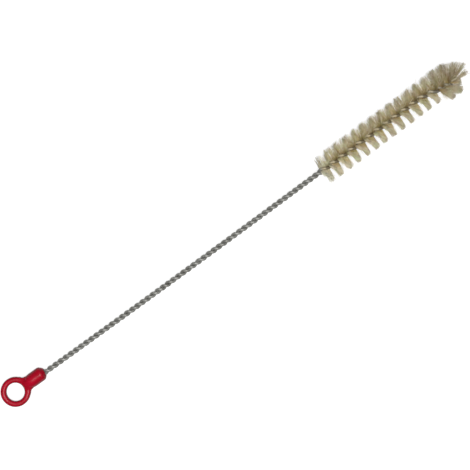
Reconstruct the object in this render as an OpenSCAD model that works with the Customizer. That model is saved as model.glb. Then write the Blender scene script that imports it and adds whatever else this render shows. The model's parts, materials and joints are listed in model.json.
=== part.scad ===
// Test tube brush.
// One steel wire is folded in half and its two legs are twisted together, which
// grips a layer of bristles near the fold. A moulded ring holds the free ends.
// The brush is laid out along +X from the ring, whose hole is centred at x = 0, with
// its wire on the X axis as far as the neck reaches. It is then laid down as it
// rests on a table: on its neck and on its lowest bristle.

/* [Handle] */
// Outer diameter of the hanging ring
ring_outer_d = 16; // [14:0.5:26]
// Diameter of the hole in the ring
ring_hole_d = 9.7; // [6:0.1:10.5]
// Thickness of the ring along the axis of its hole
ring_thickness = 3.8; // [3:0.1:6]
// Radius of the ring's moulded edges
ring_edge_r = 1.4; // [0.4:0.1:1.5]
// Diameter of the neck
neck_d = 7.8; // [6:0.1:11]
// Distance from the centre of the ring to where the neck has its full width
neck_shoulder = 8.8; // [8:0.1:11]
// Distance from the centre of the ring to the end of the neck
neck_reach = 19; // [17:0.1:40]
// Diameter that the neck tapers to at its end
neck_mouth_d = 3.8; // [3.4:0.1:5]
// Radius that rounds the neck into its taper
neck_end_r = 2; // [0.5:0.1:2.9]
// Radius of the fillets between the ring and the neck, seen from above
gusset_r = 3; // [1:0.1:5]
// Thickness of the web that carries the fillets
gusset_thickness = 2.6; // [1.6:0.1:2.8]
// How far the handle sits to the side of the twisted stem
handle_offset = 0.6; // [0:0.1:1.2]
// Depth of the socket that the stem is moulded into
socket_depth = 8.6; // [4:0.1:10]
// Clearance between the twisted stem and its socket
socket_clearance = 0.02; // [0:0.01:0.2]

/* [Wire] */
// Diameter of the wire
wire_d = 1.6; // [1:0.1:2]
// Length of stem in which the twist makes one turn
stem_pitch = 6.7; // [5.5:0.1:14]
// Length of brush in which the twist makes one turn
brush_pitch = 11.66; // [10:0.01:18]
// Length of the last turns, next to the fold
tip_pitch = 7.4; // [7:0.1:12]
// Clearance between the two legs in the bare stem
leg_clearance = 0.03; // [0.02:0.01:0.2]
// Distance from the centre of the ring to the first bristle
brush_start = 199.8; // [60:0.1:300]
// How far the even bow of the wire carries its fold to the left
wire_bow = 3.5; // [0:0.1:5]
// How far the tip of the wire is bent back to the right
tip_bend = 3.3; // [0:0.1:4]

/* [Bristles] */
// Diameter of the brush across its bristles
brush_d = 16.6; // [12:0.1:40]
// Diameter of one bristle
bristle_d = 0.26; // [0.2:0.01:0.28]
// Number of tufts before the tip, one for each half turn of the wire
tuft_count = 13; // [4:1:30]
// Number of bristles in a tuft
tuft_bristles = 20; // [8:1:20]
// How deep the wire bites into a bristle
wire_bite = 0.005; // [0.002:0.001:0.02]
// How far the bristles that stand up or down are swept to one side
sweep_angle = 30; // [0:1:35]
// How far the bristles at the edges of a tuft splay along the brush
splay_angle = 5; // [0:1:9]
// Share of its length by which a bristle can be short
length_spread = 0.06; // [0:0.01:0.2]

/* [Tip] */
// Number of forward leaning tufts before the fold
tip_tufts = 2; // [1:1:4]
// Number of bristles in each of them
tip_tuft_bristles = 13; // [6:1:13]
// Number of bristles held next to the fold of the wire
fold_bristles = 7; // [3:1:7]
// Length from the axis of the upper halves where the tip starts
tip_length_upper_start = 10.6; // [7:0.1:16]
// Length from the axis of the upper halves where the twist begins to ease
tip_length_upper = 11.6; // [7:0.1:16]
// Length from the axis of the tip's lower halves
tip_length_lower = 10; // [7:0.1:16]
// Length from the axis of the last bristle's upper half, next to the fold
fold_length_upper = 12; // [7:0.1:16]
// Length from the axis of the last bristle's lower half, next to the fold
fold_length_lower = 10; // [7:0.1:16]
// Forward lean of the upper halves where the tip starts
tip_lean_upper_start = 4; // [0:1:15]
// Forward lean of the lower halves where the tip starts
tip_lean_lower_start = 22; // [0:1:30]
// Forward lean of the upper halves where the twist begins to ease
tip_lean_upper = 24; // [16:1:36]
// Forward lean of the lower halves where the twist begins to ease
tip_lean_lower = 43; // [30:1:46]
// Forward lean of the last upper half, next to the fold
fold_lean_upper = 84; // [50:1:86]
// Forward lean of the last lower half, next to the fold
fold_lean_lower = 86; // [50:1:86]
// How far the bristles next to the fold stray to one side and the other, by turns
fold_stray = 14; // [8:1:20]

/* [Hidden] */
$fn = 32;

ring_r = ring_outer_d / 2;
hole_r = ring_hole_d / 2;
neck_r = neck_d / 2;
mouth_r = neck_mouth_d / 2;
wire_r = wire_d / 2;
bristle_r = bristle_d / 2;
// Least half width of the flats that the ring's edges leave between them
least_flat = 0.1;
ring_width = ring_r - hole_r;
edge_r = min(ring_edge_r, ring_width / 2 - least_flat, ring_thickness / 2 - least_flat);
// How far the edges of the fillets' web sink into the ring and the neck
web_tuck = 0.3;
// Angle of the neck's taper to its axis, the radius that leads into it, and the
// station where the neck's straight wall ends
taper = 45;
shoulder_r = min(neck_end_r, (neck_r - mouth_r) / (1 - cos(taper)));
neck_foot_x = neck_reach - (neck_r - mouth_r) / tan(taper) - shoulder_r * tan(taper / 2);

// The wire's section has this many sides, and its rings in a turn or a fold
wire_sides = 8;
stem_rings = 8;
brush_rings = 12;
fold_rings = 8;
// Distance of each leg's centre line from the axis, in the stem and in the brush,
// and the length over which the legs open from one to the other
stem_leg_r = wire_r + leg_clearance / 2;
brush_leg_r = wire_r + bristle_r - wire_bite;
opening_length = 2.5;

// Stations along the axis: the wire's seat in the socket, where its tip starts to
// bend, the end of the even twist, where the twist begins to ease, and where it
// stops at the fold
seat_x = neck_reach - socket_depth;
tip_x = brush_start + tuft_count * brush_pitch / 2;
bend_x = tip_x - brush_pitch;
ease_x = tip_x + tip_tufts * tip_pitch / 2;
fold_x = ease_x + tip_pitch / 2;

// The least bend of a bristle that is drawn, and the steps that a preview draws it in
least_bend = 1;
arc_steps = 12;
// Radius of a tip bristle's bend, and the bend's steps and the bristle's sides
tip_bend_r = 2;
tip_bend_steps = 4;
tip_sides = 6;

function unit(v) = v / norm(v);
function mix(a, b, t) = a + (b - a) * t;
function smooth(t) = let (w = min(1, max(0, t))) w * w * (3 - 2 * w);
function two_digits(k) = str(k < 10 ? "0" : "", k);

// A polygon of the given radius about p, square to t, with its first corner facing inward
function ring_points(p, t, inward, radius, sides) =
    let (n = unit(inward - (inward * t) * t), b = cross(t, n))
    [for (k = [0:sides - 1])
        let (a = 360 * k / sides) p + radius * (cos(a) * n + sin(a) * b)];

// A closed solid through a list of such rings
module tube(rings) {
    n = len(rings);
    s = len(rings[0]);
    walls = [for (i = [0:n - 2], k = [0:s - 1])
        let (a = i * s + k, b = i * s + (k + 1) % s)
        each [[a, a + s, b + s], [a, b + s, b]]];
    ends = [[for (k = [0:s - 1]) k], [for (k = [s - 1:-1:0]) (n - 1) * s + k]];
    polyhedron([for (r = rings) each r], concat(walls, ends));
}

// ---------------------------------------------------------------- handle

// A rectangle with round corners
module rounded_section(w, h, r) {
    square([w - 2 * r, h], center = true);
    square([w, h - 2 * r], center = true);
    for (x = [-1, 1], y = [-1, 1])
        translate([x * (w / 2 - r), y * (h / 2 - r)]) circle(r);
}

module ring() {
    rotate_extrude()
        translate([hole_r + ring_width / 2, 0])
            rounded_section(ring_width, ring_thickness, edge_r);
}

// The neck is turned about its axis: a cone that leaves the ring, a straight
// length and a rounded shoulder that runs into a taper
module neck() {
    rotate([0, 90, 0]) rotate_extrude() {
        polygon([[0, hole_r], [ring_thickness / 2, hole_r], [neck_r, neck_shoulder],
                 [neck_r, neck_foot_x],
                 [neck_r - shoulder_r * (1 - cos(taper)), neck_foot_x + shoulder_r * sin(taper)],
                 [mouth_r, neck_reach], [0, neck_reach]]);
        translate([neck_r - shoulder_r, neck_foot_x]) intersection() {
            circle(shoulder_r);
            polygon(2 * shoulder_r * [[0, 0], [1, 0], [1, tan(taper)]]);
        }
    }
}

// The web between ring and neck, hollowed on each side by a fillet that is
// tangent to both
module gusset() {
    web_y = neck_r - web_tuck;
    web_r = ring_r - web_tuck;
    fillet_y = web_y + gusset_r;
    fillet_x = sqrt(pow(web_r + gusset_r, 2) - pow(fillet_y, 2));
    share = web_r / (web_r + gusset_r);
    linear_extrude(gusset_thickness, center = true)
        for (side = [-1, 1]) scale([1, side])
            difference() {
                polygon([[fillet_x * share, 0], [fillet_x * share, fillet_y * share],
                         [fillet_x, fillet_y], [fillet_x, 0]]);
                translate([fillet_x, fillet_y]) circle(gusset_r);
            }
}

module handle_ring() {
    socket_r = stem_leg_r + wire_r + socket_clearance;
    color("crimson") placed()
        difference() {
            translate([0, handle_offset, 0]) {
                ring();
                neck();
                gusset();
            }
            translate([0, handle_offset, -neck_d]) cylinder(r = hole_r, h = 2 * neck_d);
            translate([seat_x, 0, 0]) rotate([0, 90, 0])
                cylinder(r = socket_r, h = 2 * socket_depth);
        }
}

// ---------------------------------------------------------------- wire

// The axis strays to one side as the square of the way from the neck to the fold,
// and its tip is bent back to the other side
function bent_by(x) = tip_bend * smooth((x - bend_x) / (ease_x - bend_x));
function axis(x) =
    [x, wire_bow * pow(max(0, x - neck_reach) / (fold_x - neck_reach), 2) - bent_by(x), 0];
// Directions along the axis and square to it, and the step that they are measured over
heading_step = 0.01;
function along(x) = unit(axis(x + heading_step) - axis(x - heading_step));
function radial(x, angle) = cos(angle) * cross([0, 0, 1], along(x)) + [0, 0, sin(angle)];

// Angle of the first leg about the axis. Each tuft takes half a turn, and at its
// middle one leg lies above the axis and the other below.
function twist(x) =
    x < brush_start ? 360 * (x - brush_start) / stem_pitch
    : x < tip_x ? 360 * (x - brush_start) / brush_pitch
    : x < ease_x ? 180 * tuft_count + 360 * (x - tip_x) / tip_pitch
    : 180 * (tuft_count + tip_tufts)
      + 90 * (1 - pow(1 - min(1, (x - ease_x) / (fold_x - ease_x)), 2));

function leg_r(x) =
    mix(stem_leg_r, brush_leg_r, smooth((x - brush_start) / opening_length + 1));

function leg_point(x, side) = axis(x) + leg_r(x) * radial(x, twist(x) + side);

// Evenly spaced stations from a up to, but without, b
function stations(a, b, step) =
    let (n = ceil((b - a) / step)) [for (i = [0:n - 1]) mix(a, b, i / n)];

leg_stations = concat(stations(seat_x, brush_start, stem_pitch / stem_rings),
                      stations(brush_start, tip_x, brush_pitch / brush_rings),
                      stations(tip_x, fold_x, tip_pitch / brush_rings));

// The wire's centre line, as pairs of a point and the centre that it bends round:
// out along one leg, round the fold, and back along the other leg
fold_side = twist(fold_x);
wire_path = concat(
    [for (x = leg_stations) [leg_point(x, 0), axis(x)]],
    [for (i = [0:fold_rings])
        let (a = 180 * i / fold_rings)
        [axis(fold_x) + brush_leg_r * (sin(a) * along(fold_x) + cos(a) * radial(fold_x, fold_side)),
         axis(fold_x)]],
    [for (i = [len(leg_stations) - 1:-1:0])
        let (x = leg_stations[i]) [leg_point(x, 180), axis(x)]]);

function wire_tangent(i) =
    i == 0 ? [1, 0, 0]
    : i == len(wire_path) - 1 ? [-1, 0, 0]
    : unit(wire_path[i + 1][0] - wire_path[i - 1][0]);

// One ring of points round the centre line, with its first point facing inward
function wire_ring(i) =
    let (p = wire_path[i][0])
    ring_points(p, wire_tangent(i), wire_path[i][1] - p, wire_r, wire_sides);

module twisted_wire() {
    color("slategray") placed() tube([for (i = [0:len(wire_path) - 1]) wire_ring(i)]);
}

// ---------------------------------------------------------------- bristles

// A bristle is [the point where it crosses the axis, direction of its lower half,
// bends of its lower and its upper half, lengths of both]. A bend is a vector: its
// direction is the way that the half bends, and its length the angle. It crosses
// the axis square to the line between the two legs, where
// - turn is the angle of the first leg since the tuft began,
// - leans are how far the two halves are bent forward,
// - stray is how far both are bent to one side.
function bristle(x, turn, leans, lengths, stray = 0) =
    let (off = turn - 90)
    [axis(x), [0, -cos(off), -sin(off)],
     [for (lean = leans)
         let (sweep = sweep_angle * (1 - lean / 90) * pow(sin(off), 2) * sign(off))
         (lean + splay_angle * sin(2 * off)) * [1, 0, 0]
         + (sweep + stray) * [0, sin(off), -cos(off)]],
     lengths];
function bend_way(v) = norm(v) < least_bend ? [1, 0, 0] : unit(v);

// Bristles that stand up or down have the brush's radius, also at the tip
function lengths_at(turn, lower, upper, short) =
    let (w = pow(sin(turn), 2))
    [mix(brush_d / 2, lower, w) * (1 - length_spread * short[0]),
     mix(brush_d / 2, upper, w) * (1 - length_spread * short[1])];

// The k-th plain tuft. The brush is trimmed straight, also where its axis bends.
function tuft(k) =
    let (n = tuft_bristles, short = rands(0, 1, 2 * n, k))
    [for (i = [0:n - 1])
        let (u = (i + 0.5) / n, x = brush_start + (k - 1 + u) * brush_pitch / 2)
        bristle(x, 180 * u, [0, 0],
                lengths_at(180 * u, brush_d / 2 - bent_by(x), brush_d / 2 + bent_by(x),
                           [short[i], short[i + n]]))];

// The k-th forward leaning tuft
function tip_tuft(k) =
    let (n = tip_tuft_bristles, short = rands(0, 1, 2 * n, tuft_count + k))
    [for (i = [0:n - 1])
        let (u = (i + 0.5) / n, t = (k - 1 + u) / tip_tufts)
        bristle(mix(tip_x, ease_x, t), 180 * u,
                [mix(tip_lean_lower_start, tip_lean_lower, t),
                 mix(tip_lean_upper_start, tip_lean_upper, t)],
                lengths_at(180 * u, tip_length_lower, mix(tip_length_upper_start, tip_length_upper, t),
                           [short[i], short[i + n]]))];

// The bristles next to the fold fan out: their upper halves spread ever faster, and
// their lower halves are soon turned forward
function fold_tuft() =
    let (n = fold_bristles, short = rands(0, 1, 2 * n, 0))
    [for (i = [0:n - 1])
        let (u = (i + 0.5) / n,
             x = mix(ease_x, fold_x, u),
             turn = twist(x) - 180 * (tuft_count + tip_tufts))
        bristle(x, turn,
                [mix(tip_lean_lower, fold_lean_lower, sqrt(u)),
                 mix(tip_lean_upper, fold_lean_upper, pow(u, 1.5))],
                lengths_at(turn, mix(tip_length_lower, fold_length_lower, u),
                           mix(tip_length_upper, fold_length_upper, u),
                           [short[i], short[i + n]]),
                fold_stray * (i % 2 == 0 ? 1 : -1))];

// A plain bristle is one arc, whose ends lie at the angle of its bend from the
// straight line through its middle
function arc_r(b) = max(b[3]) / (2 * norm(b[2][0]) * PI / 180);
function is_straight(b) = norm(b[2][0]) < least_bend;
function arc_tip(b, side) =
    let (length = b[3][side > 0 ? 0 : 1])
    is_straight(b) ? b[0] + side * length * b[1]
    : let (r = arc_r(b), a = length / r * 180 / PI)
      b[0] + r * ((1 - cos(a)) * unit(b[2][0]) + side * sin(a) * b[1]);

module arc_bristle(b) {
    r = is_straight(b) ? 0 : arc_r(b);
    back = -bend_way(b[2][0]);
    across = cross(back, b[1]);
    centre = b[0] - r * back;
    multmatrix([for (i = [0:2]) [back[i], b[1][i], across[i], centre[i]]])
        if (r == 0)
            translate([0, -b[3][1], 0]) rotate([-90, 0, 0])
                cylinder(r = bristle_r, h = b[3][0] + b[3][1]);
        else
            rotate(-b[3][1] / r * 180 / PI)
                rotate_extrude(angle = (b[3][0] + b[3][1]) / r * 180 / PI,
                               $fn = arc_steps * 2 * PI * r / (b[3][0] + b[3][1]))
                    translate([r, 0]) circle(bristle_r);
}

// A tip bristle is two straight halves and a short bend between them, in which each
// half turns by its own angle. Share t of the bend goes from -1 at the upper half to
// 1 at the lower, and the angles on the upper half's side are negative.
function half_way(b, a) = bend_way(b[2][a > 0 ? 0 : 1]);
function turned(b, t) = t * max(least_bend, norm(b[2][t > 0 ? 0 : 1]));
function bend_point(b, a) =
    b[0] + tip_bend_r * ((1 - cos(a)) * half_way(b, a) + sin(a) * b[1]);
function bend_direction(b, a) = sin(a) * half_way(b, a) + cos(a) * b[1];
function bent_tip(b, side) =
    let (a = turned(b, side),
         straight = b[3][side > 0 ? 0 : 1] - tip_bend_r * abs(a) * PI / 180)
    bend_point(b, a) + side * straight * bend_direction(b, a);

// The first corner of its section faces a leg of the wire
module bent_bristle(b) {
    across = cross(b[1], [1, 0, 0]);
    path = concat(
        [[bent_tip(b, -1), turned(b, -1)]],
        [for (i = [0:tip_bend_steps])
            let (a = turned(b, 2 * i / tip_bend_steps - 1)) [bend_point(b, a), a]],
        [[bent_tip(b, 1), turned(b, 1)]]);
    tube([for (p = path)
        ring_points(p[0], bend_direction(b, p[1]), across, bristle_r, tip_sides)]);
}

module plain_bristles(list) {
    color("tan") placed() for (b = list) arc_bristle(b);
}

module tip_bristles(list) {
    color("tan") placed() for (b = list) bent_bristle(b);
}

// ---------------------------------------------------------------- resting place

// The brush tips back onto its neck until its lowest bristle meets the table
all_tips = [for (side = [-1, 1])
    each concat([for (k = [1:tuft_count], b = tuft(k)) arc_tip(b, side)],
                [for (k = [1:tip_tufts], b = tip_tuft(k)) bent_tip(b, side)],
                [for (b = fold_tuft()) bent_tip(b, side)])];
rest_tilt = max([for (p = all_tips)
    atan((-p[2] - neck_r) / (p[0] - neck_foot_x))]);
floor_z = neck_foot_x * sin(rest_tilt) - neck_r * cos(rest_tilt);
middle_x = (max([for (p = all_tips) p[0]]) - ring_r) / 2 * cos(rest_tilt);
middle_y = (max(max([for (p = all_tips) p[1]]), ring_r + handle_offset)
            + min(min([for (p = all_tips) p[1]]), handle_offset - ring_r)) / 2;

// From the brush's own axis to the table, with the origin under the middle
module placed() {
    translate([-middle_x, -middle_y, -floor_z]) rotate([0, -rest_tilt, 0]) children();
}

function plain_name(k) = str("bristle_tuft_", two_digits(k));
function tip_name(k) = str("tip_tuft_", two_digits(k));

handle_ring();
twisted_wire();
for (k = [1:tuft_count])
    plain_bristles(tuft(k));
for (k = [1:tip_tufts])
    tip_bristles(tip_tuft(k));
tip_bristles(fold_tuft());
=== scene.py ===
"""The looks of the test tube brush: a moulded ring, a twisted wire and its bristles.

Lengths are in millimetres in the brush's own frame, which has its origin on the
wire's axis beside the centre of the ring, its X axis along the wire and its Z axis
through the ring. placed() takes points of that frame to the table, in metres.
"""

import json
import math

import bpy
import numpy as np
from mathutils import Matrix, Vector


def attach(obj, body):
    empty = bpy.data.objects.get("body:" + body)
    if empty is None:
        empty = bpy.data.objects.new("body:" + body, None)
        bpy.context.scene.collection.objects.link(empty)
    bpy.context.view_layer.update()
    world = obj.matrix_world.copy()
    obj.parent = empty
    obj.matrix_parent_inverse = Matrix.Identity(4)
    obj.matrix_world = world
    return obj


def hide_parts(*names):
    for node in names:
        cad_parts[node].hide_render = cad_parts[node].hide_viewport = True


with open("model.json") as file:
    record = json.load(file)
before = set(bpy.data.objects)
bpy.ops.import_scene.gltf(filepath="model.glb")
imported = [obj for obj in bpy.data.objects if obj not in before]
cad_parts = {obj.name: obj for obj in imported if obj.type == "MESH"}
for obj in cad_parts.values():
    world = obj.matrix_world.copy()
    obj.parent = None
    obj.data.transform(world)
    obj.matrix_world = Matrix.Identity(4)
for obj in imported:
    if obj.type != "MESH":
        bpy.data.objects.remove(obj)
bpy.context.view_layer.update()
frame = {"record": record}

# ---------------------------------------------------------------- sizes

MM = 0.001

# Handle
RING_R, HOLE_R, RING_THICKNESS, RING_EDGE_R = 8.0, 4.85, 3.8, 1.4
NECK_R, NECK_ROOT, NECK_SHOULDER, NECK_REACH = 3.9, 0.9, 8.8, 19.0
MOUTH_R, SHOULDER_R, TAPER = 1.9, 2.0, math.radians(45)
GUSSET_R, GUSSET_THICKNESS, WEB_TUCK = 3.0, 2.6, 0.3
HANDLE_OFFSET = 0.6
SEAT_X = 10.4
SOCKET_R = 1.64
# How softly its faces run into each other
MOUTH_BLEND, CONE_BLEND, NECK_BLEND = 0.3, 1.2, 1.4
WEB_EDGE_BLEND, WEB_BLEND, SOCKET_BLEND = 0.8, 1.2, 0.35
# The grid that its mesh is made on, and how far that reaches past it
HANDLE_CELL, HANDLE_MARGIN = 0.25, 0.5

# Wire
WIRE_R = 0.8
STEM_PITCH, BRUSH_PITCH, TIP_PITCH = 6.7, 11.66, 7.4
STEM_LEG_R, BRUSH_LEG_R, OPENING_LENGTH = 0.815, 0.925, 2.5
BRUSH_START, TUFT_COUNT, TIP_TUFTS = 199.8, 13, 2
TIP_X = BRUSH_START + TUFT_COUNT * BRUSH_PITCH / 2
EASE_X = TIP_X + TIP_TUFTS * TIP_PITCH / 2
FOLD_X = EASE_X + TIP_PITCH / 2
BEND_X = TIP_X - BRUSH_PITCH
WIRE_BOW, TIP_BEND = 3.5, 3.3
# Points round its section and round the fold, and along each turn of its parts
WIRE_SIDES, FOLD_POINTS = 16, 13
STEM_STEPS, BRUSH_STEPS, TIP_STEPS = 30, 40, 36

# Bristles
BRUSH_R = 8.3
ROOT_R, END_R = 0.095, 0.055
BRISTLE_SIDES = 3

# ---------------------------------------------------------------- frame

EYE = frame["record"]["mounts"][0]
UP = np.array(EYE["axis"], float)
ALONG = np.array([UP[2], 0, -UP[0]])
ACROSS = np.array([0.0, 1.0, 0.0])
ORIGIN = np.array(EYE["pos_m"], float) - HANDLE_OFFSET * MM * ACROSS


def placed(points):
    """Points of the brush's own frame, in mm, as points on the table, in metres."""
    return ORIGIN + MM * np.asarray(points, float) @ np.array([ALONG, ACROSS, UP])


def unit(v):
    return v / np.linalg.norm(v, axis=-1, keepdims=True)


def smooth(t):
    w = np.clip(t, 0, 1)
    return w * w * (3 - 2 * w)


def mix(a, b, t):
    return a + (b - a) * t


# ---------------------------------------------------------------- pieces


def piece(name, points, faces, material, nodes, values=None):
    """A smooth mesh from points in mm that stands for the given CAD nodes."""
    mesh = bpy.data.meshes.new(name)
    mesh.from_pydata(placed(points).tolist(), [], faces)
    mesh.shade_smooth()
    for key, numbers in (values or {}).items():
        mesh.attributes.new(key, "FLOAT", "POINT").data.foreach_set("value", numbers.astype(np.float32))
    mesh.materials.append(material)
    obj = bpy.data.objects.new(name, mesh)
    bpy.context.scene.collection.objects.link(obj)
    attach(obj, "root")
    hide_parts(*nodes)
    return obj


def tube_faces(rings, sides):
    """Quads of one tube whose points are numbered ring by ring, and its two end faces."""
    i, k = np.meshgrid(np.arange(rings - 1), np.arange(sides), indexing="ij")
    a, b = i * sides + k, i * sides + (k + 1) % sides
    walls = np.stack([a, b, b + sides, a + sides], -1).reshape(-1, 4).tolist()
    last = (rings - 1) * sides
    return walls + [list(range(sides))[::-1], list(range(last, last + sides))]


# ---------------------------------------------------------------- materials


class Nodes:
    """A material's node tree, with its Principled shader and short ways to add nodes."""

    def __init__(self, name):
        self.material = bpy.data.materials.new(name)
        self.material.use_nodes = True
        self.tree = self.material.node_tree
        self.shader = self.tree.nodes["Principled BSDF"]

    def put(self, socket, value):
        if hasattr(value, "is_output"):
            self.tree.links.new(value, socket)
        else:
            socket.default_value = value

    def add(self, kind, inputs=None, **settings):
        node = self.tree.nodes.new(kind)
        for key, value in settings.items():
            setattr(node, key, value)
        for key, value in (inputs or {}).items():
            self.put(node.inputs[key], value)
        return node

    def value(self, name):
        return self.add("ShaderNodeAttribute", attribute_name=name).outputs["Fac"]

    def math(self, operation, *inputs):
        return self.add("ShaderNodeMath", dict(enumerate(inputs)), operation=operation).outputs[0]

    def ramp(self, fac, stops):
        node = self.add("ShaderNodeValToRGB", {"Fac": fac})
        elements = node.color_ramp.elements
        while len(elements) < len(stops):
            elements.new(0.5)
        for element, (position, colour) in zip(elements, stops):
            element.position, element.color = position, (*colour, 1)
        return node.outputs["Color"]

    def blend(self, fac, a, b, blend_type="MIX"):
        node = self.add("ShaderNodeMix", data_type="RGBA", blend_type=blend_type)
        for socket, value in zip((node.inputs[0], node.inputs[6], node.inputs[7]), (fac, a, b)):
            self.put(socket, (*value, 1) if isinstance(value, tuple) else value)
        return node.outputs[2]

    def multiply(self, a, b):
        return self.blend(1.0, a, b, "MULTIPLY")

    def range(self, value, low, high, to_low, to_high):
        inputs = dict(enumerate((value, low, high, to_low, to_high)))
        return self.add("ShaderNodeMapRange", inputs).outputs[0]

    def noise(self, vector, scale, detail=3.0, roughness=0.5):
        inputs = {"Vector": vector, "Scale": scale, "Detail": detail, "Roughness": roughness}
        return self.add("ShaderNodeTexNoise", inputs).outputs["Fac"]

    def bump(self, height, distance, strength=1.0):
        inputs = {"Height": height, "Distance": distance, "Strength": strength}
        return self.add("ShaderNodeBump", inputs).outputs["Normal"]

    def place(self):
        return self.add("ShaderNodeTexCoord").outputs["Object"]

    def finish(self, **inputs):
        for key, value in inputs.items():
            self.put(self.shader.inputs[key.replace("_", " ")], value)
        return self.material


# Dark brown of the painted shade on the wire's inner and sunken sides in the brush and near the roots of the
# bristles
SHADE_BROWN = (0.13, 0.10, 0.045)


def ring_plastic():
    """Glossy crimson plastic with painted shade at its sides, faint flow marks and fine wear."""
    n = Nodes("crimson_plastic")
    flow = n.noise(n.place(), 180.0, 4.0)
    haze = n.noise(n.place(), 900.0, 3.0, 0.6)
    colour = n.ramp(flow, [(0.3, (0.34, 0.002, 0.012)), (0.7, (0.44, 0.003, 0.022))])
    # Painted shade: the colour darkens towards a deep crimson where the surface turns away from facing up
    colour = n.blend(n.math("MULTIPLY", n.value("painted_side_shade"), 0.7), colour, (0.13, 0.001, 0.006))
    rough = n.range(haze, 0.3, 0.7, 0.24, 0.34)
    normal = n.bump(n.noise(n.place(), 320.0, 2.0), 0.00012)
    return n.finish(Base_Color=colour, Roughness=rough, Normal=normal, IOR=1.5, Specular_IOR_Level=0.18)


def wire_steel():
    """Dull galvanised steel: mottled and stained zinc, fine drawing lines, and in the brush a brown tint
    with a painted highlight on the legs' outer sides and painted shade on their inner and sunken sides.
    """
    n = Nodes("galvanised_steel")
    patches = n.noise(n.place(), 700.0, 4.0, 0.6)
    stains = n.range(n.noise(n.place(), 160.0, 3.0), 0.45, 0.7, 0.0, 0.4)
    along_it = n.add("ShaderNodeUVMap", uv_map="wire").outputs["UV"]
    drawn = n.add("ShaderNodeMapping", {"Vector": along_it, "Scale": (60.0, 900.0, 1.0)}).outputs[0]
    zinc = n.ramp(patches, [(0.3, (0.26, 0.26, 0.24)), (0.7, (0.39, 0.39, 0.365))])
    colour = n.blend(stains, zinc, (0.20, 0.19, 0.16))
    held = n.value("held")
    # Painted highlight and shade in the brush: a brown tint, pale on the legs' outer sides and dark on their
    # inner and sunken sides
    lit_and_shaded_brown = n.ramp(n.value("painted_light_and_shade"), [(0.35, SHADE_BROWN), (0.95, (0.42, 0.35, 0.21))])
    colour = n.blend(n.math("MULTIPLY", held, 0.9), colour, lit_and_shaded_brown)
    metal = n.range(held, 0.0, 1.0, 0.6, 0.15)
    rough = n.range(patches, 0.3, 0.7, 0.46, 0.62)
    normal = n.bump(n.noise(drawn, 1.0, 2.0), 0.00003, 0.5)
    return n.finish(Base_Color=colour, Roughness=rough, Metallic=metal, Normal=normal)


# Where the brush and its first tuft start and end along the table, in metres
BRUSH_SPAN, FIRST_TUFT_SPAN = (0.055, 0.14), (0.057, 0.065)
# Tints of single bristles, from the darkest to the palest, and of patches of them
BRISTLE_TINTS = [(0.0, (0.50, 0.43, 0.31)), (0.25, (0.84, 0.76, 0.57)), (0.5, (1.0, 0.97, 0.89)),
                 (0.75, (0.92, 0.96, 0.85)), (1.0, (1.0, 0.96, 0.93))]
PATCH_TINTS = [(0.35, (0.93, 1.0, 0.86)), (0.5, (1.0, 0.98, 0.92)), (0.65, (1.0, 0.93, 0.95))]


def bristle_hair(name, dark, mid, pale):
    """Natural bristle, paler to its ends and darker at its roots, partly its own tone and partly painted
    shade by the wire, with more painted shade in the recesses by the wire, greyer to the brush's tip, and
    paler in its first tuft, painted light for the light that shows through its sparse bristles.
    """
    n = Nodes(name)
    tone = n.value("tone")
    # Darker at the root, partly the bristle's own colour and partly painted shade by the wire
    body = n.ramp(n.value("reach"), [(0.0, dark), (0.45, mid), (1.0, pale)])
    single = n.ramp(tone, BRISTLE_TINTS)
    patches = n.ramp(n.noise(n.place(), 260.0, 2.0), PATCH_TINTS)
    along_table = n.add("ShaderNodeSeparateXYZ", {"Vector": n.place()}).outputs["X"]
    # Darker and greyer towards the brush's tip
    toward_tip = n.range(along_table, *BRUSH_SPAN, 0.0, 1.0)
    tip_greying = n.ramp(toward_tip, [(0.0, (0.98, 1.0, 0.96)), (1.0, (0.88, 0.88, 0.86))])
    colour = n.multiply(n.multiply(body, single), n.multiply(patches, tip_greying))
    # Painted light: the first tuft is paler, as light shows through its sparse bristles
    paling = n.range(along_table, *FIRST_TUFT_SPAN, 0.4, 0.0)
    colour = n.blend(paling, colour, (0.80, 0.83, 0.74))
    # Painted shade near the wire, by the painted-shade share
    colour = n.blend(n.math("MULTIPLY", n.value("painted_shade"), 0.75), colour, SHADE_BROWN)
    rough = n.range(tone, 0.0, 1.0, 0.38, 0.55)
    return n.finish(Base_Color=colour, Roughness=rough, IOR=1.5)


# ---------------------------------------------------------------- handle


def length2(a, b):
    return np.sqrt(a * a + b * b)


def rounded_box(x, y, half_x, half_y, r):
    """Distance to a rectangle with round corners about the origin."""
    qx, qy = np.abs(x) - (half_x - r), np.abs(y) - (half_y - r)
    return length2(np.maximum(qx, 0), np.maximum(qy, 0)) + np.minimum(np.maximum(qx, qy), 0) - r


def blend_min(a, b, k):
    """The smaller of two distances, with a fillet of about k where they meet."""
    h = np.maximum(k - np.abs(a - b), 0) / k
    return np.minimum(a, b) - h * h * k / 4


def blend_max(a, b, k):
    return -blend_min(-a, -b, k)


def ring_field(x, y, z):
    middle, half = (RING_R + HOLE_R) / 2, (RING_R - HOLE_R) / 2
    return rounded_box(length2(x, y) - middle, z, half, RING_THICKNESS / 2, RING_EDGE_R)


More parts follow.
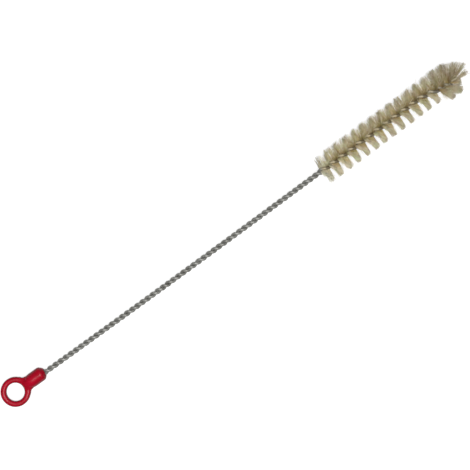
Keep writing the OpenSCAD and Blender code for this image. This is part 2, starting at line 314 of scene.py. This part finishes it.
def neck_field(x, y, z):
    """The neck: a cone that widens from the ring, a barrel, and a tapered end with a round shoulder."""
    from_axis = length2(y, z)
    rise = (NECK_R - RING_THICKNESS / 2) / (NECK_SHOULDER - HOLE_R)
    cone = (from_axis - RING_THICKNESS / 2 - rise * (x - HOLE_R)) / math.hypot(1, rise)
    corner_x = NECK_REACH - (NECK_R - MOUTH_R) / math.tan(TAPER)
    end = (x - corner_x) * math.sin(TAPER) + (from_axis - NECK_R) * math.cos(TAPER)
    barrel = blend_max(from_axis - NECK_R, end, SHOULDER_R * math.tan(TAPER / 2) * math.sin(TAPER))
    barrel = blend_max(barrel, x - NECK_REACH, MOUTH_BLEND)
    return np.maximum(blend_max(barrel, cone, CONE_BLEND), HOLE_R + NECK_ROOT - x)


def web_field(x, y, z):
    """The flat web between ring and neck, which ends in a concave fillet on each side."""
    web_y, web_r = NECK_R - WEB_TUCK, RING_R - WEB_TUCK
    fillet_y = web_y + GUSSET_R
    fillet_x = math.sqrt((web_r + GUSSET_R) ** 2 - fillet_y**2)
    share = web_r / (web_r + GUSSET_R)
    above = (np.abs(y) * fillet_x - x * fillet_y) / math.hypot(fillet_x, fillet_y)
    web = np.maximum.reduce([share * fillet_x - x, x - fillet_x, above,
                             GUSSET_R - length2(x - fillet_x, np.abs(y) - fillet_y)])
    return blend_max(web, np.abs(z) - GUSSET_THICKNESS / 2, WEB_EDGE_BLEND)


def handle_field(p):
    """Distance, in mm, to the moulded handle: ring, neck and the web between them, less the socket."""
    x, y, z = p[..., 0], p[..., 1] - HANDLE_OFFSET, p[..., 2]
    ring_and_neck = blend_min(ring_field(x, y, z), neck_field(x, y, z), NECK_BLEND)
    solid = blend_min(ring_and_neck, web_field(x, y, z), WEB_BLEND)
    socket = np.maximum(length2(p[..., 1], z) - SOCKET_R, SEAT_X - x)
    return blend_max(solid, -socket, SOCKET_BLEND)


def gradient(field, p, step=0.01):
    moves = step * np.eye(3)
    return np.stack([field(p + m) - field(p - m) for m in moves], -1) / (2 * step)


def crossed_cells(inside):
    """Which cells of a grid have some corners inside and some outside."""
    count = sum(inside[i:i - 1 or None, j:j - 1 or None, k:k - 1 or None].astype(int)
                for i in (0, 1) for j in (0, 1) for k in (0, 1))
    return (count > 0) & (count < 8)


def surface(field, low, high, cell):
    """A closed mesh of the level zero of a field, with one point in each cell that it crosses."""
    steps, least_slope = 8, 0.05
    axes = [np.arange(a, b + cell, cell) for a, b in zip(low, high)]
    inside = field(np.stack(np.meshgrid(*axes, indexing="ij"), -1)) < 0
    crossed = crossed_cells(inside)
    number = np.full(crossed.shape, -1)
    number[crossed] = np.arange(crossed.sum())
    points = np.array(low) + (np.argwhere(crossed) + 0.5) * cell
    for _ in range(steps):
        g = gradient(field, points)
        far = np.clip(field(points), -cell, cell)
        points = points - (far / np.maximum((g * g).sum(-1), least_slope))[:, None] * g
    faces = []
    for axis in range(3):
        b, c = (axis + 1) % 3, (axis + 2) % 3
        here = np.moveaxis(inside, (axis, b, c), (0, 1, 2))[:, 1:-1, 1:-1]
        cells = np.moveaxis(number, (axis, b, c), (0, 1, 2))
        for out, order in ((True, (0, 1, 2, 3)), (False, (3, 2, 1, 0))):
            at = np.argwhere((here[:-1] == out) & (here[1:] != out))
            i, j, k = at[:, 0], at[:, 1] + 1, at[:, 2] + 1
            quad = [cells[i, j - 1, k - 1], cells[i, j, k - 1], cells[i, j, k], cells[i, j - 1, k]]
            faces.append(np.stack([quad[o] for o in order], -1))
    return points, np.concatenate(faces)


def make_handle():
    margin = HANDLE_MARGIN
    low = (-RING_R - margin, HANDLE_OFFSET - RING_R - margin, -NECK_R - margin)
    high = (NECK_REACH + margin, HANDLE_OFFSET + RING_R + margin, NECK_R + margin)
    points, faces = surface(handle_field, low, high, HANDLE_CELL)
    # How far the surface turns from facing up, for the painted shade on the handle's sides
    facing_up = np.abs(unit(gradient(handle_field, points))[:, 2])
    piece("moulded_ring", points, faces.tolist(), ring_plastic(), ["handle_ring"],
          {"painted_side_shade": smooth((0.95 - facing_up) / 0.6)})


# ---------------------------------------------------------------- wire


def twist(x):
    """Angle of the first leg about the axis, in degrees."""
    stem = 360 * (x - BRUSH_START) / STEM_PITCH
    brush = 360 * (x - BRUSH_START) / BRUSH_PITCH
    tip = 180 * TUFT_COUNT + 360 * (x - TIP_X) / TIP_PITCH
    left = 1 - np.clip((x - EASE_X) / (FOLD_X - EASE_X), 0, 1)
    fold = 180 * (TUFT_COUNT + TIP_TUFTS) + 90 * (1 - left**2)
    return np.select([x < BRUSH_START, x < TIP_X, x < EASE_X], [stem, brush, tip], fold)


def bent_by(x):
    """How far the bend near the tip has carried the axis to one side."""
    return TIP_BEND * smooth((x - BEND_X) / (EASE_X - BEND_X))


def axis(x):
    """Points of the wire's axis, which bows to one side and is bent back near its tip."""
    bow = WIRE_BOW * (np.maximum(0, x - NECK_REACH) / (FOLD_X - NECK_REACH)) ** 2
    return np.stack([x, bow - bent_by(x), 0 * x], -1)


def along(x, step=0.01):
    return unit(axis(x + step) - axis(x - step))


def radial(x, angle):
    """Directions square to the axis, at angles about it in radians."""
    a = np.asarray(angle)[..., None]
    up = np.array([0.0, 0.0, 1.0])
    return np.cos(a) * np.cross(up, along(x)) + np.sin(a) * up


def leg_r(x):
    return mix(STEM_LEG_R, BRUSH_LEG_R, smooth((x - BRUSH_START) / OPENING_LENGTH + 1))


def leg(x, side):
    """Points of a leg's centre line, and the points of the axis beside them."""
    return axis(x) + leg_r(x)[:, None] * radial(x, np.radians(twist(x) + side)), axis(x)


def wire_line():
    """The wire's centre line, out along one leg and back along the other, and what it bends round."""
    x = np.concatenate([np.arange(SEAT_X, BRUSH_START, STEM_PITCH / STEM_STEPS),
                        np.arange(BRUSH_START, TIP_X, BRUSH_PITCH / BRUSH_STEPS),
                        np.arange(TIP_X, FOLD_X, TIP_PITCH / TIP_STEPS)])
    a = np.radians(np.linspace(0, 180, FOLD_POINTS))[:, None]
    end = np.array(FOLD_X)
    side = radial(end, math.radians(float(twist(end))))
    fold = axis(end) + BRUSH_LEG_R * (np.sin(a) * along(end) + np.cos(a) * side)
    centre = np.tile(axis(end), (len(a), 1))
    (out, out_axis), (back, back_axis) = leg(x, 0), leg(x, 180)
    return np.concatenate([out, fold, back[::-1]]), np.concatenate([out_axis, centre, back_axis[::-1]])


def wire_tint_and_light(line, inward, a):
    """How much brown tint the wire has along its line, and how far out round the wire its points lie, less
    so on legs on the -Y side of the axis and not below it: the material paints a highlight where this is
    high and shade where it is low.
    """
    tip_share, tip_length = 0.6, 9
    x = line[:, 0]
    held = smooth((x - BRUSH_START) / OPENING_LENGTH) * mix(1, tip_share, smooth((x - BEND_X) / tip_length))
    # Legs on the -Y side of the axis, and not below it, get painted shade
    sinking = smooth((inward[:, 1] + 0.05) / 0.5) * smooth((0.1 - inward[:, 2]) / 0.3)
    painted_light_and_shade = mix(1.0, 0.25, sinking)[:, None] * (1 - np.cos(a)) / 2
    return {"held": np.repeat(held, len(a)), "painted_light_and_shade": painted_light_and_shade.ravel()}


def map_wire(mesh, line, faces):
    """A UV map with the turns about the wire in U and the metres along it in V."""
    run = np.concatenate([[0], np.cumsum(np.linalg.norm(np.diff(line, axis=0), axis=1))]) * MM
    ring, k = np.divmod(np.concatenate(faces), WIRE_SIDES)
    first = np.repeat([f[0] % WIRE_SIDES for f in faces], [len(f) for f in faces])
    turn = np.where((k == 0) & (first == WIRE_SIDES - 1), WIRE_SIDES, k) / WIRE_SIDES
    uv = mesh.uv_layers.new(name="wire")
    uv.data.foreach_set("uv", np.stack([turn, run[ring]], -1).astype(np.float32).ravel())


def make_wire():
    line, centre = wire_line()
    tangent = unit(np.gradient(line, axis=0))
    inward = centre - line
    inward = unit(inward - (inward * tangent).sum(-1, keepdims=True) * tangent)
    across = np.cross(tangent, inward)
    a = 2 * np.pi * np.arange(WIRE_SIDES) / WIRE_SIDES
    points = line[:, None] + WIRE_R * (np.cos(a)[:, None] * inward[:, None]
                                       + np.sin(a)[:, None] * across[:, None])
    faces = tube_faces(len(line), WIRE_SIDES)
    wire = piece("twisted_steel_wire", points.reshape(-1, 3), faces, wire_steel(),
                 ["twisted_wire"], wire_tint_and_light(line, inward, a))
    map_wire(wire.data, line, faces)


# ---------------------------------------------------------------- bristles

# Where the points of a half stand along it
STEPS = np.array([0.0, 0.12, 0.27, 0.46, 0.7, 1.0])
# How much the halves wander along and about the axis, in degrees, and their middles, in mm
DRIFT, TURN_DRIFT, SHIFT = 2.0, 2.5, 0.05


def hair_half(off, sign, half, sharpness, rng):
    """Points of one half of bristles that are held at angles off, from their middles."""
    end, lean, length = half
    drift = rng.normal(0, DRIFT, (len(off), 1))
    t = (STEPS[1:] + STEPS[:-1]) / 2
    curve = 1 - (1 - t[None]) ** sharpness
    tilt = np.radians(lean[:, None] * curve + drift * t[None] ** 2)
    dt = np.diff(STEPS)[None] * length[:, None]
    ahead = np.cumsum(np.sin(tilt) * dt, 1)
    away = np.cumsum(np.cos(tilt) * dt, 1)
    s = STEPS[1:][None]
    angle = np.radians(off[:, None] + (end - off)[:, None] * (1 - (1 - s) ** 2)
                       + rng.normal(0, TURN_DRIFT, (len(off), 1)) * s**2)
    return np.stack([ahead, sign * away * np.cos(angle), sign * away * np.sin(angle)], -1)


def hair(x, off, lower, upper, sharpness, rng):
    """Points of bristles that cross the axis at stations x, held at angles off, and their reach.

    lower and upper say how each half runs: the angle about the axis that it ends at,
    its lean along X and its length, in degrees and mm. The sharper its bend, the
    nearer the root it leans. The reach goes from -1 at the lower end to 1 at the upper.
    """
    down = hair_half(off, -1, lower, sharpness, rng)
    up = hair_half(off, 1, upper, sharpness, rng)
    a = np.radians(off)
    shift = rng.uniform(-SHIFT, SHIFT, len(x))
    middle = np.stack([0 * x, -shift * np.sin(a), shift * np.cos(a)], -1)[:, None]
    lines = axis(x)[:, None] + np.concatenate([down[:, ::-1], middle, up], 1)
    return lines, np.concatenate([-STEPS[1:][::-1], STEPS])


def above_table(points):
    """Moves what would be under the table up to it, as bristles lie down on what they rest on."""
    least = 0.12
    height = points @ np.array([ALONG[2], 0, UP[2]]) + ORIGIN[2] / MM
    return points + np.maximum(least - height, 0)[..., None] * np.array([0, 0, 1 / UP[2]])


def hair_tubes(lines, r):
    """Points and faces of tubes along the lines, with radii r at their points."""
    n, rings = lines.shape[:2]
    tangent = unit(np.gradient(lines, axis=1))
    normal = unit(np.cross(tangent, [1.0, 0.02, 0.03]))
    across = np.cross(tangent, normal)
    a = 2 * np.pi * np.arange(BRISTLE_SIDES) / BRISTLE_SIDES
    points = lines[:, :, None] + r[..., None, None] * (np.cos(a)[:, None] * normal[:, :, None]
                                                       + np.sin(a)[:, None] * across[:, :, None])
    one = tube_faces(rings, BRISTLE_SIDES)
    faces = []
    for base in range(0, n * rings * BRISTLE_SIDES, rings * BRISTLE_SIDES):
        faces += [[base + v for v in f] for f in one]
    return points.reshape(-1, 3), faces


# Painted shade near the wire: the share that all upper halves have, the reach at which it has faded out and
# over how much reach it fades, and how far out it reaches on the two halves where the painted-shade share is
# 1
COMMON_SHADE, SHADE_END, SHADE_FADE = 0.16, 0.85, 0.35
UPPER_SHADE_REACH, LOWER_SHADE_REACH = 0.42, 0.32


def hair_values(reach, tone, painted_shade, paling):
    """The attributes of all points of bristles, from a tone, a painted-shade share and a paling share for
    each bristle.

    The material makes a bristle paler with the reach, and the paling makes its lower half
    pale all along. The painted-shade share paints shade near the middle, where the bristles lie against the
    wire, over the little painted shade that all upper halves have near their roots.
    """
    paleness = mix(np.abs(reach), 1.0, paling[:, None] * (reach <= 0))
    upper_shade = mix(COMMON_SHADE * smooth((SHADE_END - reach) / SHADE_FADE), 1.0,
                     painted_shade[:, None] * np.clip(1 - reach / UPPER_SHADE_REACH, 0, 1))
    lower_shade = painted_shade[:, None] * np.clip(1 + reach / LOWER_SHADE_REACH, 0, 1)
    values = {"reach": paleness, "tone": tone[:, None], "painted_shade": np.where(reach > 0, upper_shade, lower_shade)}
    shape = (len(tone), len(reach), BRISTLE_SIDES)
    return {key: np.broadcast_to(v[:, :, None], shape).ravel() for key, v in values.items()}


def clumped(rng, n, size=16):
    """A random number for each of n bristles, which the neighbours in a clump share."""
    return np.repeat(rng.normal(0, 1, n // size + 1), size)[:n]


def make_hair(name, node, material, x, off, lower, upper, sharpness, seed, painted_shade=0.0, paling=0.0):
    """One piece of bristles at stations x, held at angles off, as hair() and hair_values() say."""
    rng = np.random.default_rng(seed)
    lines, reach = hair(x, off, lower, upper, sharpness, rng)
    tone = np.clip(0.5 + 0.2 * clumped(rng, len(x)) + 0.25 * rng.normal(0, 1, len(x)), 0, 1)
    thickness = rng.uniform(0.8, 1.15, len(x))
    r = mix(ROOT_R, END_R, np.abs(reach) ** 1.5)[None] * thickness[:, None]
    points, faces = hair_tubes(above_table(lines), r)
    values = hair_values(reach, tone, painted_shade + 0 * x, paling + 0 * x)
    piece(name, points, faces, material, [node], values)


def even(n, rng):
    """n numbers from 0 to 1, one at random in each of n even steps."""
    return (np.arange(n) + rng.uniform(0, 1, n)) / n


# The angle about the axis that each half ends at, by the angle that it is held at
LOWER_HELD = -90, -80, -72, -54, -30, 0, 45, 60, 72, 82, 90
LOWER_ENDS = -52, -38, -30, -21, -11, 0, 20, 30, 52, 95, 125
UPPER_HELD, UPPER_ENDS = (-90, -45, 0, 45, 70, 90), (-62, -32, 0, 28, 46, 60)

# Two seeds of each kind of tuft, for its bristles' places and for their courses
PLAIN_SEEDS, TIP_SEEDS, FOLD_SEEDS = (100, 200), (300, 400), (500, 501)
# How sharply the bristles of each kind bend
PLAIN_SHARPNESS, TIP_SHARPNESS, FOLD_SHARPNESS = 2.2, 5, 16

# Bristles in the first tuft and in the other plain ones
FIRST_BRISTLES, PLAIN_BRISTLES = 150, 210
# Extra bristles of every plain tuft, the share of the tuft that they stand in, and how
# much of the others' lean and length their lower halves have
EXTRA_BRISTLES, EXTRA_SHARE, EXTRA_LEAN, EXTRA_LENGTH = 90, (-0.08, 0.10), 0.4, (0.25, 0.6)
# How far bristles that stand up or down lean along the wire, in degrees: the lower
# halves into their own tuft, and the upper halves forward
LOWER_LEAN, UPPER_LEAN = 27, 27
# How far a tuft's first bristles lean forward and its last ones lean back
TUFT_LEAN = 5
# How much the leans vary by the tuft, by the clump, and by the bristle, where it lies
# level and where it stands
LOWER_TUFT, LOWER_CLUMP, LOWER_OWN = 1, 3, (3, 8)
UPPER_TUFT, UPPER_CLUMP, UPPER_OWN = 2, 7, (4, 8)
LEAN_CLUMP = 8
# How much the angles that the lower and upper halves end at vary, level and standing
PLAIN_ENDS, TIP_ENDS = ((5, 15), (7, 18)), ((7, 18), (7, 18))
# How far the longest bristles stand out of the trimmed surface, and by what share of
# their length the shortest lower and upper halves stay inside it
UNEVEN, LOWER_SHORT, UPPER_SHORT = 0.3, 0.3, 0.45
# In the first tuft: how far its first upper halves lean forward, with no tuft behind
# them, how many of the lower and upper halves are short, and how short they are
FIRST_LEAN, FIRST_LOWER, FIRST_UPPER = 6, (0.4, 0.6), (0.6, 0.5)


def scattered(rng, value, off, spread, standing_spread):
    """The value with a random spread, which is wider on bristles that stand up or down."""
    standing = np.sin(np.radians(off)) ** 2
    return value + rng.normal(0, 1, len(off)) * mix(spread, standing_spread, standing)


def ends_held(rng, off, lower_spread, upper_spread):
    """The angles about the axis that the lower and upper halves end at."""
    lower = scattered(rng, np.interp(off, LOWER_HELD, LOWER_ENDS), off, *lower_spread)
    return lower, scattered(rng, np.interp(off, UPPER_HELD, UPPER_ENDS), off, *upper_spread)


def shortened(rng, length, short=0.16):
    return length * (1 - short * rng.beta(1.0, 2.6, np.size(length)))


def trimmed(rng, end, lean, extra, short):
    """Lengths that end at the brush's radius, or at extra more where they lie level, some of them short."""
    radius = BRUSH_R + extra * np.cos(np.radians(end)) ** 2
    return shortened(rng, radius / np.cos(np.radians(lean)), short)


def fanned(level, end):
    """Lengths of untrimmed bristles, which are this long where they lie level."""
    return mix(level, BRUSH_R, np.sin(np.radians(end)) ** 2)


def some_short(rng, length, share, part):
    """The lengths, with this share of them, picked at random, cut to a part."""
    return length * np.where(rng.uniform(0, 1, len(length)) < share, part, 1)


def plain_stations(k, rng):
    """Where the bristles of a tuft stand, from 0 at its start to 1 at its end, and which are extra."""
    n = FIRST_BRISTLES if k == 1 else PLAIN_BRISTLES
    u = np.concatenate([even(n, rng), mix(*EXTRA_SHARE, rng.uniform(0, 1, EXTRA_BRISTLES))])
    if k == 1:
        u = np.abs(u)
    extra = np.arange(len(u)) >= n
    order = np.argsort(u)
    return u[order], extra[order]


def plain_leans(k, rng, u, off, extra):
    """How far the lower and upper halves of a plain tuft lean forward, in degrees."""
    upright = (np.clip(off, -90, 90) / 90) ** 3
    by_half = np.where(u < 0.5, 1, 0.5)
    lower = (rng.normal(0, LOWER_TUFT) + LOWER_CLUMP * clumped(rng, len(u), LEAN_CLUMP)
             - TUFT_LEAN * (2 * u - 1) - LOWER_LEAN * upright * by_half)
    upper = (rng.normal(0, UPPER_TUFT) + UPPER_CLUMP * clumped(rng, len(u), LEAN_CLUMP)
             - TUFT_LEAN * (2 * u - 1) + UPPER_LEAN * np.abs(upright))
    lower = scattered(rng, np.where(extra, EXTRA_LEAN, 1) * lower, off, *LOWER_OWN)
    upper = scattered(rng, upper, off, *UPPER_OWN)
    if k == 1:
        upper = np.maximum(upper, -3) + FIRST_LEAN * (1 - u)
    return lower, upper


def make_plain_tuft(k, material):
    """The k-th tuft of the brush, with painted light in its first part, where its lower halves stay pale all
    along, and painted shade near the roots in its second.
    """
    rng = np.random.default_rng(PLAIN_SEEDS[0] + k)
    u, extra = plain_stations(k, rng)
    x = BRUSH_START + (k - 1 + u) * BRUSH_PITCH / 2
    off = 180 * u - 90
    lean_lower, lean_upper = plain_leans(k, rng, u, off, extra)
    end_lower, end_upper = ends_held(rng, off, *PLAIN_ENDS)
    length_lower = trimmed(rng, end_lower, lean_lower, UNEVEN - bent_by(x), LOWER_SHORT)
    length_lower = length_lower * np.where(extra, rng.uniform(*EXTRA_LENGTH, len(u)), 1)
    length_upper = trimmed(rng, end_upper, lean_upper, UNEVEN + bent_by(x), UPPER_SHORT)
    length_upper = length_upper * (1 - 0.03 * np.abs(clumped(rng, len(u))))
    if k == 1:
        length_upper = some_short(rng, length_upper, *FIRST_UPPER)
        length_lower = some_short(rng, length_lower, *FIRST_LOWER)
    # Painted shade near the roots in the recess beside the wire's leg, and painted light that keeps the
    # lower halves pale in the first part
    painted_shade = smooth((u - 0.4) / 0.15) * smooth((0.98 - u) / 0.12)
    paling = 0.6 * smooth((0.4 - u) / 0.2)
    make_hair(f"bristles_{k:02d}", f"bristle_tuft_{k:02d}", material, x, off,
              (end_lower, lean_lower, length_lower), (end_upper, lean_upper, length_upper),
              PLAIN_SHARPNESS, PLAIN_SEEDS[1] + k, painted_shade, paling)


# Bristles of a tip tuft, and extra ones in the first part of it
TIP_BRISTLES, TIP_EXTRA, TIP_EXTRA_SHARE = 260, 40, 0.2
# How far the halves of the two tip tufts lean forward, in degrees
TIP_LOWER_LEAN, TIP_UPPER_LEAN = (30, 41), (9, 22)
# How much their leans vary by the clump, and by the bristle, level and standing
TIP_LOWER_CLUMP, TIP_LOWER_OWN = 4, (6, 14)
TIP_UPPER_CLUMP, TIP_UPPER_OWN = 6, (5, 12)
# How long they are where they lie level: below with the share that the shortest lack,
# and above at the start and at the end of the tip
TIP_LOWER_LENGTH, TIP_LOWER_SHORT, TIP_UPPER_LENGTH = 9.6, 0.22, (11.0, 12.2)


def make_tip_tuft(k, material):
    rng = np.random.default_rng(TIP_SEEDS[0] + k)
    u = np.sort(np.concatenate([even(TIP_BRISTLES, rng), TIP_EXTRA_SHARE * rng.uniform(0, 1, TIP_EXTRA)]))
    t = (k - 1 + u) / TIP_TUFTS
    off = 180 * u - 90
    lean_lower = TIP_LOWER_LEAN[k - 1] + (1 - 2 * u) + TIP_LOWER_CLUMP * clumped(rng, len(u))
    lean_lower = scattered(rng, lean_lower, off, *TIP_LOWER_OWN)
    lean_upper = TIP_UPPER_LEAN[k - 1] + (1 - 2 * u) + TIP_UPPER_CLUMP * clumped(rng, len(u))
    lean_upper = scattered(rng, lean_upper, off, *TIP_UPPER_OWN)
    end_lower, end_upper = ends_held(rng, off, *TIP_ENDS)
    length_lower = shortened(rng, fanned(TIP_LOWER_LENGTH, end_lower), TIP_LOWER_SHORT)
    length_upper = shortened(rng, fanned(mix(*TIP_UPPER_LENGTH, t), end_upper))
    make_hair(f"tip_bristles_{k:02d}", f"tip_tuft_{k:02d}", material, mix(TIP_X, EASE_X, t), off,
              (end_lower, lean_lower, length_lower), (end_upper, lean_upper, length_upper),
              TIP_SHARPNESS, TIP_SEEDS[1] + k)


# Bristles next to the fold, and what share of them after this place has a stray lower half
FOLD_BRISTLES, STRAY_START, STRAY_SHARE = 240, 0.4, 0.4
# How far their halves lean forward, in degrees, and how long they are where they lie
# level, at the start and at the end
FAN_UPPER_LEAN, FAN_LOWER_LEAN, STRAY_LEAN = (30, 72), (52, 80), 91
FAN_UPPER_LENGTH, FAN_LOWER_LENGTH, STRAY_LENGTH = (11.4, 10.7), (7.0, 3.0), (8.0, 9.4)
# How far they spread about the axis, in degrees
FAN_UPPER_SPREAD, FAN_LOWER_SPREAD = 40, 45


def make_fold_tuft(material):
    """The bristles next to the fold: a fan above, and below a short fan and a stray bunch ahead."""
    rng = np.random.default_rng(FOLD_SEEDS[0])
    n = FOLD_BRISTLES
    u = even(n, rng)
    x = mix(EASE_X, FOLD_X, u)
    off = twist(x) - 180 * (TUFT_COUNT + TIP_TUFTS) - 90
    lean_upper = mix(*FAN_UPPER_LEAN, u**1.2) + 3 * clumped(rng, n) + rng.normal(0, 4, n)
    stray = (u > STRAY_START) & (rng.uniform(0, 1, n) < STRAY_SHARE)
    lean_lower = np.where(stray, STRAY_LEAN, mix(*FAN_LOWER_LEAN, u)) + rng.normal(0, 6, n)
    length_lower = np.where(stray, mix(*STRAY_LENGTH, u), mix(*FAN_LOWER_LENGTH, u))
    lower = rng.normal(0, FAN_LOWER_SPREAD, n), lean_lower, shortened(rng, length_lower, 0.25)
    end_upper = rng.normal(0, FAN_UPPER_SPREAD, n)
    upper = end_upper, lean_upper, shortened(rng, fanned(mix(*FAN_UPPER_LENGTH, u), end_upper))
    # Painted shade near the roots, deeper on the stray bunch, which is also paler all along
    make_hair("fold_bristles", "fold_tuft", material, x, off, lower, upper,
              FOLD_SHARPNESS, FOLD_SEEDS[1], np.where(stray, 0.6, 0.3), np.where(stray, 0.8, 0.0))


# ---------------------------------------------------------------- studio

VIEW_TURN = math.radians(35.54)
VIEW_POINT = (143.3, 0.67, 0.0)
VIEW_DISTANCE = 0.66
LENS, SENSOR = 95.1, 36
FLOOR_HALF, FLOOR_GLOW, WORLD_STRENGTH = 4.0, 0.8, 0.12
# Name, place in metres, size in metres and power in watts
LIGHTS = (("key", (-0.04, -0.16, 1.15), 0.6, 12.9), ("fill", (0.4, 0.2, 0.9), 0.7, 0.8))


def floor_material():
    """Pale grey that shows as white to the camera, in reflections and through what is clear."""
    n = Nodes("studio_floor")
    grain = n.noise(n.place(), 40.0, 2.0)
    n.finish(Base_Color=n.ramp(grain, [(0.0, (0.34, 0.34, 0.34)), (1.0, (0.36, 0.36, 0.36))]), Roughness=0.9)
    path = n.add("ShaderNodeLightPath").outputs
    seen = n.math("MAXIMUM", n.math("MAXIMUM", path["Is Camera Ray"], path["Is Glossy Ray"]),
                  path["Is Transmission Ray"])
    strength = n.math("MULTIPLY", seen, FLOOR_GLOW)
    glow = n.add("ShaderNodeEmission", {"Color": (1, 1, 1, 1), "Strength": strength})
    both = n.add("ShaderNodeAddShader", {0: n.shader.outputs[0], 1: glow.outputs[0]})
    n.put(n.tree.nodes["Material Output"].inputs["Surface"], both.outputs[0])
    return n.material


def make_floor():
    h = FLOOR_HALF
    mesh = bpy.data.meshes.new("studio_floor")
    mesh.from_pydata([(-h, -h, 0), (h, -h, 0), (h, h, 0), (-h, h, 0)], [], [(0, 1, 2, 3)])
    mesh.materials.append(floor_material())
    floor = bpy.data.objects.new("studio_floor", mesh)
    bpy.context.scene.collection.objects.link(floor)


def area_light(name, place, size, power):
    """A round lamp that shines at the origin."""
    data = bpy.data.lights.new(name, "AREA")
    data.shape, data.size, data.energy = "DISK", size, power
    light = bpy.data.objects.new(name, data)
    light.location = place
    light.rotation_mode = "QUATERNION"
    light.rotation_quaternion = (-Vector(place)).to_track_quat("-Z", "Y")
    bpy.context.scene.collection.objects.link(light)


def make_studio():
    world = bpy.data.worlds.new("studio")
    world.use_nodes = True
    background = world.node_tree.nodes["Background"]
    background.inputs["Color"].default_value = (1, 1, 1, 1)
    background.inputs["Strength"].default_value = WORLD_STRENGTH
    bpy.context.scene.world = world
    make_floor()
    for light in LIGHTS:
        area_light(*light)


def make_camera():
    """A camera that looks straight down on the ring, turned as the photograph is."""
    data = bpy.data.cameras.new("camera")
    data.lens, data.sensor_width = LENS, SENSOR
    data.clip_start, data.clip_end = 0.01, 20
    camera = bpy.data.objects.new("camera", data)
    right = Vector(math.cos(VIEW_TURN) * ALONG - math.sin(VIEW_TURN) * ACROSS)
    up = Vector(math.sin(VIEW_TURN) * ALONG + math.cos(VIEW_TURN) * ACROSS)
    back = right.cross(up)
    turn = Matrix((right, up, back)).transposed()
    place = Vector(placed(VIEW_POINT)) + VIEW_DISTANCE * back
    camera.matrix_world = Matrix.Translation(place) @ turn.to_4x4()
    bpy.context.scene.collection.objects.link(camera)
    bpy.context.scene.camera = camera


# ---------------------------------------------------------------- scene

make_handle()
make_wire()
plain_hair = bristle_hair("hog_bristle", (0.48, 0.36, 0.17), (0.77, 0.66, 0.43), (0.88, 0.84, 0.74))
# The tip's bristles: a darker middle and end than the plain ones, painted shade for the denser tip, and a
# paler root
tip_hair = bristle_hair("hog_bristle_tip", (0.56, 0.41, 0.22), (0.67, 0.56, 0.37), (0.80, 0.75, 0.65))
for tuft in range(1, TUFT_COUNT + 1):
    make_plain_tuft(tuft, plain_hair)
for tuft in range(1, TIP_TUFTS + 1):
    make_tip_tuft(tuft, tip_hair)
make_fold_tuft(tip_hair)
make_studio()
make_camera()
bpy.context.scene.view_settings.view_transform = "Standard"
